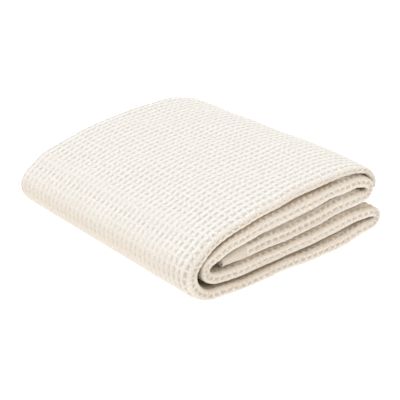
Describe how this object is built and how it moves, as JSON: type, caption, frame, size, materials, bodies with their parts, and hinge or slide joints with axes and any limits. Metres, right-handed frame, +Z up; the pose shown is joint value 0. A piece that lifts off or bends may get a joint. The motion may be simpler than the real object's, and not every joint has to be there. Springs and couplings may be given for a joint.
{
  "type": "folded throw blanket",
  "caption": "Waffle-weave cotton throw, folded in half twice and then back and forth into a soft crowned pile that lies flat.",
  "frame": {"origin": "centre of the bounding box in plan, at the height of the underside", "axes": "+X towards the fold ends of the plies, along the pile's round outer fold; +Y from the round outer fold to the side with the loose hem; +Z up"},
  "size_m": [0.4005, 0.3397, 0.1159],
  "materials": {
    "waffle_cotton": "matt undyed cream cotton, waffle weave"
  },
  "bodies": {
    "root": {"throw": "waffle_cotton"}
  },
  "joints": []
}
